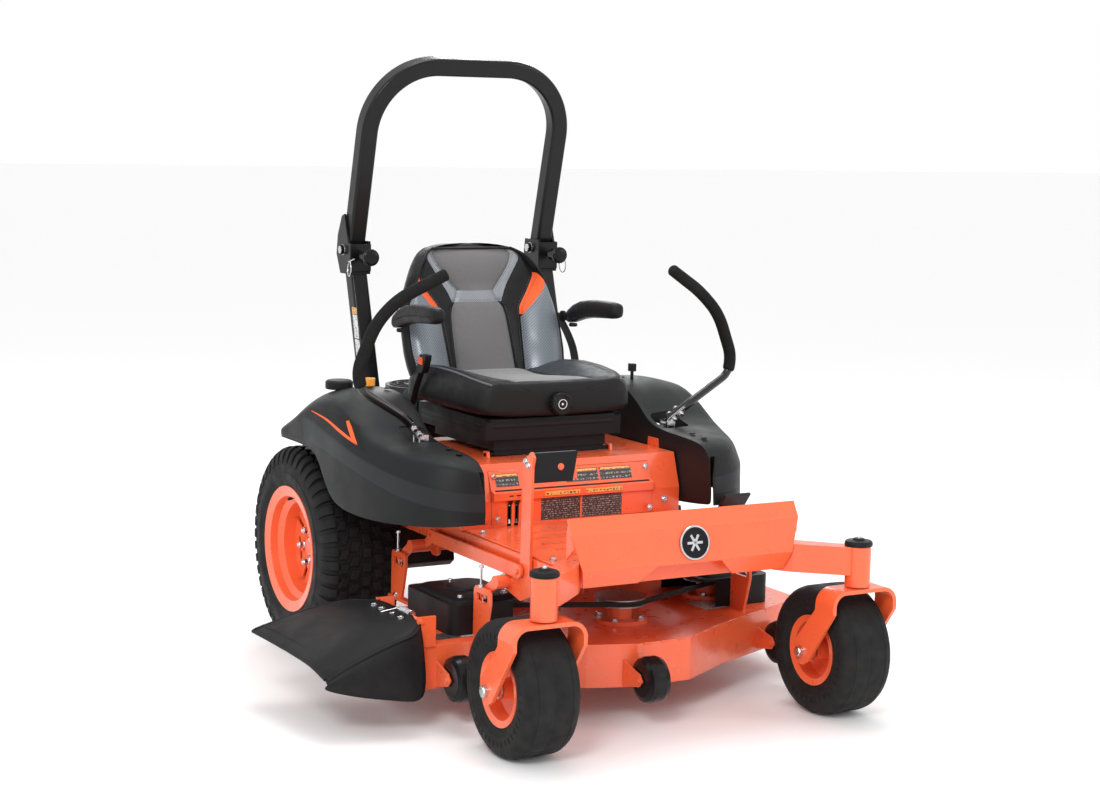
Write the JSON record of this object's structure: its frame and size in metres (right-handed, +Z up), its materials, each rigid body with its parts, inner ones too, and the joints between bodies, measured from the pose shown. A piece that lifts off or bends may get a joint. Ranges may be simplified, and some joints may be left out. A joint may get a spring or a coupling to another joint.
{
  "type": "zero turn mower",
  "caption": "Ride-on zero turn mower with side-discharge deck, folding rollover bar, swivel casters, steering levers and a sprung tilting seat.",
  "frame": {"origin": "centre of the footprint on the ground; the mower's own centreline is at X = +0.1175 m because the discharge chute sticks out on its right", "axes": "+X to the operator's left, the mower faces -Y, +Z up"},
  "size_m": [1.475, 1.925, 1.6632],
  "materials": {
    "orange_paint": "gloss powder coat",
    "black_paint": "satin powder coat",
    "gloss_black_paint": "gloss powder coat",
    "body_plastic": "satin moulded",
    "cover_plastic": "matt moulded",
    "chute_rubber": "matt moulded",
    "tyre_rubber": "matt",
    "grip_foam": "matt foam",
    "belt_rubber": "matt",
    "plated_steel": "bright zinc",
    "bare_steel": "ground",
    "seat_vinyl": "grained",
    "gloss_plastic_black": "gloss",
    "amber_plastic": "gloss",
    "engine_casting": "cast and painted",
    "muffler_steel": "heat dulled"
  },
  "bodies": {
    "chassis": {"main_frame": "orange_paint", "rear_bumper": "black_paint", "floor_pan": "orange_paint", "toe_guard": "orange_paint", "seat_box": "orange_paint", "service_hatch": "orange_paint", "fender_right": "body_plastic", "fender_left": "body_plastic", "rops_post_right": "black_paint", "rops_post_left": "black_paint", "engine": "engine_casting", "muffler": "muffler_steel", "transaxles": "black_paint"},
    "rear_wheel_left": {"rear_tyre_left": "tyre_rubber", "rear_rim_left": "orange_paint"},
    "caster_left": {"caster_fork_left": "orange_paint", "caster_hardware_left": "plated_steel"},
    "caster_wheel_left": {"caster_tyre_left": "tyre_rubber", "caster_rim_left": "orange_paint"},
    "rear_wheel_right": {"rear_tyre_right": "tyre_rubber", "rear_rim_right": "orange_paint"},
    "caster_right": {"caster_fork_right": "orange_paint", "caster_hardware_right": "plated_steel"},
    "caster_wheel_right": {"caster_tyre_right": "tyre_rubber", "caster_rim_right": "orange_paint"},
    "rops_hoop": {"rops_hoop": "black_paint"},
    "rops_knob_left": {"rops_knob_left": "gloss_plastic_black"},
    "rops_knob_right": {"rops_knob_right": "gloss_plastic_black"},
    "lever_bracket_left": {"lever_bracket_left": "plated_steel"},
    "lever_left": {"steering_lever_left": "gloss_black_paint", "lever_grip_left": "grip_foam"},
    "lever_bracket_right": {"lever_bracket_right": "plated_steel"},
    "lever_right": {"steering_lever_right": "gloss_black_paint", "lever_grip_right": "grip_foam"},
    "seat_base": {"seat_pan": "cover_plastic"},
    "seat": {"seat_cushion": "seat_vinyl", "seat_backrest": "seat_vinyl"},
    "seat_knob": {"seat_knob": "gloss_plastic_black"},
    "armrest_left": {"armrest_left": "seat_vinyl"},
    "armrest_right": {"armrest_right": "seat_vinyl"},
    "deck": {"deck_shell": "orange_paint", "belt_covers": "cover_plastic", "deck_belt": "belt_rubber"},
    "spindle_centre": {"spindle_centre": "bare_steel"},
    "spindle_right": {"spindle_right": "bare_steel"},
    "spindle_left": {"spindle_left": "bare_steel"},
    "idler_left": {"idler_left": "bare_steel"},
    "idler_right": {"idler_right": "bare_steel"},
    "engine_pulley": {"engine_pulley": "bare_steel"},
    "scalp_wheel_centre": {"scalp_wheel_centre": "gloss_plastic_black"},
    "scalp_wheel_right": {"scalp_wheel_right": "gloss_plastic_black"},
    "scalp_wheel_left": {"scalp_wheel_left": "gloss_plastic_black"},
    "chute": {"discharge_chute": "chute_rubber"},
    "front_lift": {"front_lift_shaft": "orange_paint"},
    "rear_lift": {"rear_lift_shaft": "orange_paint"},
    "lift_link": {"lift_link": "orange_paint"},
    "brake_pedal": {"brake_pedal": "black_paint"},
    "pto_knob": {"pto_knob": "amber_plastic"},
    "throttle_lever": {"throttle_lever": "cover_plastic"},
    "fuel_cap": {"fuel_cap": "cover_plastic"}
  },
  "joints": [
    {"name": "rear_wheel_spin_left", "type": "hinge", "parent": "chassis", "child": "rear_wheel_left", "pos_m": [0.5725, 0.3625, 0.288], "axis": [1, 0, 0], "continuous": true},
    {"name": "caster_swivel_left", "type": "hinge", "parent": "chassis", "child": "caster_left", "pos_m": [0.5665, -0.8925, 0.4], "axis": [0, 0, 1], "continuous": true},
    {"name": "caster_wheel_spin_left", "type": "hinge", "parent": "caster_left", "child": "caster_wheel_left", "pos_m": [0.5665, -0.7975, 0.165], "axis": [1, 0, 0], "continuous": true},
    {"name": "rear_wheel_spin_right", "type": "hinge", "parent": "chassis", "child": "rear_wheel_right", "pos_m": [-0.3375, 0.3625, 0.288], "axis": [1, 0, 0], "continuous": true},
    {"name": "caster_swivel_right", "type": "hinge", "parent": "chassis", "child": "caster_right", "pos_m": [-0.3315, -0.8925, 0.4], "axis": [0, 0, 1], "continuous": true},
    {"name": "caster_wheel_spin_right", "type": "hinge", "parent": "caster_right", "child": "caster_wheel_right", "pos_m": [-0.3315, -0.7975, 0.165], "axis": [1, 0, 0], "continuous": true},
    {"name": "rops_fold", "type": "hinge", "parent": "chassis", "child": "rops_hoop", "pos_m": [0.1175, 0.5285, 1.11], "axis": [1, 0, 0], "range_deg": [-115, 0]},
    {"name": "rops_knob_turn_left", "type": "hinge", "parent": "chassis", "child": "rops_knob_left", "pos_m": [0.4225, 0.4345, 1.094], "axis": [0, -1, 0], "continuous": true},
    {"name": "rops_knob_turn_right", "type": "hinge", "parent": "chassis", "child": "rops_knob_right", "pos_m": [-0.1875, 0.4345, 1.094], "axis": [0, -1, 0], "continuous": true},
    {"name": "lever_drive_left", "type": "hinge", "parent": "chassis", "child": "lever_bracket_left", "pos_m": [0.5025, -0.0925, 0.6], "axis": [1, 0, 0], "range_deg": [-12, 18], "stiffness_Nm_per_rad": 40},
    {"name": "lever_swing_left", "type": "hinge", "parent": "lever_bracket_left", "child": "lever_left", "pos_m": [0.4995, -0.0925, 0.652], "axis": [0, -1, 0], "range_deg": [0, 25]},
    {"name": "lever_drive_right", "type": "hinge", "parent": "chassis", "child": "lever_bracket_right", "pos_m": [-0.2675, -0.0925, 0.6], "axis": [1, 0, 0], "range_deg": [-12, 18], "stiffness_Nm_per_rad": 40},
    {"name": "lever_swing_right", "type": "hinge", "parent": "lever_bracket_right", "child": "lever_right", "pos_m": [-0.2645, -0.0925, 0.652], "axis": [0, 1, 0], "range_deg": [0, 25]},
    {"name": "seat_tilt", "type": "hinge", "parent": "chassis", "child": "seat_base", "pos_m": [0.1175, -0.0975, 0.599], "axis": [1, 0, 0], "range_deg": [0, 62]},
    {"name": "seat_slide", "type": "slide", "parent": "seat_base", "child": "seat", "axis": [0, 1, 0], "range_m": [-0.05, 0.05]},
    {"name": "seat_knob_turn", "type": "hinge", "parent": "seat", "child": "seat_knob", "pos_m": [0.1175, -0.1555, 0.735], "axis": [0, -1, 0], "range_deg": [-150, 150]},
    {"name": "armrest_lift_left", "type": "hinge", "parent": "seat", "child": "armrest_left", "pos_m": [0.3715, 0.2905, 0.925], "axis": [1, 0, 0], "range_deg": [-95, 0]},
    {"name": "armrest_lift_right", "type": "hinge", "parent": "seat", "child": "armrest_right", "pos_m": [-0.1365, 0.2905, 0.925], "axis": [1, 0, 0], "range_deg": [-95, 0]},
    {"name": "deck_lift", "type": "slide", "parent": "chassis", "child": "deck", "axis": [0, 0, 1], "range_m": [-0.035, 0], "deforming": ["deck_belt"]},
    {"name": "spindle_spin_centre", "type": "hinge", "parent": "deck", "child": "spindle_centre", "pos_m": [0.1495, -0.4375, 0.2], "axis": [0, 0, 1], "continuous": true},
    {"name": "spindle_spin_right", "type": "hinge", "parent": "deck", "child": "spindle_right", "pos_m": [-0.2275, -0.2775, 0.2], "axis": [0, 0, 1], "continuous": true},
    {"name": "spindle_spin_left", "type": "hinge", "parent": "deck", "child": "spindle_left", "pos_m": [0.5275, -0.2775, 0.2], "axis": [0, 0, 1], "continuous": true},
    {"name": "idler_spin_left", "type": "hinge", "parent": "deck", "child": "idler_left", "pos_m": [0.2175, -0.1175, 0.255], "axis": [0, 0, 1], "continuous": true},
    {"name": "idler_spin_right", "type": "hinge", "parent": "deck", "child": "idler_right", "pos_m": [0.0175, -0.1175, 0.255], "axis": [0, 0, 1], "continuous": true},
    {"name": "engine_pulley_spin", "type": "hinge", "parent": "chassis", "child": "engine_pulley", "pos_m": [0.1175, 0.6625, 0.255], "axis": [0, 0, 1], "continuous": true},
    {"name": "scalp_wheel_spin_centre", "type": "hinge", "parent": "deck", "child": "scalp_wheel_centre", "pos_m": [0.0575, -0.7455, 0.126], "axis": [1, 0, 0], "continuous": true},
    {"name": "scalp_wheel_spin_right", "type": "hinge", "parent": "deck", "child": "scalp_wheel_right", "pos_m": [-0.3675, -0.5455, 0.126], "axis": [1, 0, 0], "continuous": true},
    {"name": "scalp_wheel_spin_left", "type": "hinge", "parent": "deck", "child": "scalp_wheel_left", "pos_m": [0.5775, -0.5675, 0.126], "axis": [1, 0, 0], "continuous": true},
    {"name": "chute_flip", "type": "hinge", "parent": "deck", "child": "chute", "pos_m": [-0.4475, -0.3635, 0.265], "axis": [0, 1, 0], "range_deg": [0, 75]},
    {"name": "front_lift_turn", "type": "hinge", "parent": "chassis", "child": "front_lift", "pos_m": [0.1175, -0.5185, 0.352], "axis": [1, 0, 0], "range_deg": [-41.5, 0]},
    {"name": "rear_lift_turn", "type": "hinge", "parent": "chassis", "child": "rear_lift", "pos_m": [0.1175, -0.0295, 0.352], "axis": [1, 0, 0], "range_deg": [-41.5, 0]},
    {"name": "lift_link_turn", "type": "hinge", "parent": "front_lift", "child": "lift_link", "pos_m": [-0.2305, -0.5805, 0.389], "axis": [1, 0, 0], "range_deg": [0, 41.5]},
    {"name": "brake_press", "type": "hinge", "parent": "chassis", "child": "brake_pedal", "pos_m": [0.4725, -0.2575, 0.4], "axis": [1, 0, 0], "range_deg": [0, 22], "stiffness_Nm_per_rad": 12, "springref_deg": -11.46},
    {"name": "pto_pull", "type": "slide", "parent": "chassis", "child": "pto_knob", "axis": [0, 0, 1], "range_m": [0, 0.012]},
    {"name": "throttle_swing", "type": "hinge", "parent": "chassis", "child": "throttle_lever", "pos_m": [0.5175, 0.1325, 0.725], "axis": [1, 0, 0], "range_deg": [-22, 22]},
    {"name": "fuel_cap_turn", "type": "hinge", "parent": "chassis", "child": "fuel_cap", "pos_m": [-0.3445, 0.2625, 0.757], "axis": [0, 0, 1], "continuous": true}
  ],
  "couplings": [
    {"joint": "spindle_spin_right", "follows": "spindle_spin_centre", "ratio": 1},
    {"joint": "spindle_spin_left", "follows": "spindle_spin_centre", "ratio": 1},
    {"joint": "idler_spin_left", "follows": "spindle_spin_centre", "ratio": -1.5263},
    {"joint": "idler_spin_right", "follows": "spindle_spin_centre", "ratio": -1.5263},
    {"joint": "engine_pulley_spin", "follows": "spindle_spin_centre", "ratio": 1.16},
    {"joint": "front_lift_turn", "follows": "deck_lift", "rad_per_m": 20.6},
    {"joint": "rear_lift_turn", "follows": "deck_lift", "rad_per_m": 20.6},
    {"joint": "lift_link_turn", "follows": "deck_lift", "rad_per_m": -20.6}
  ]
}
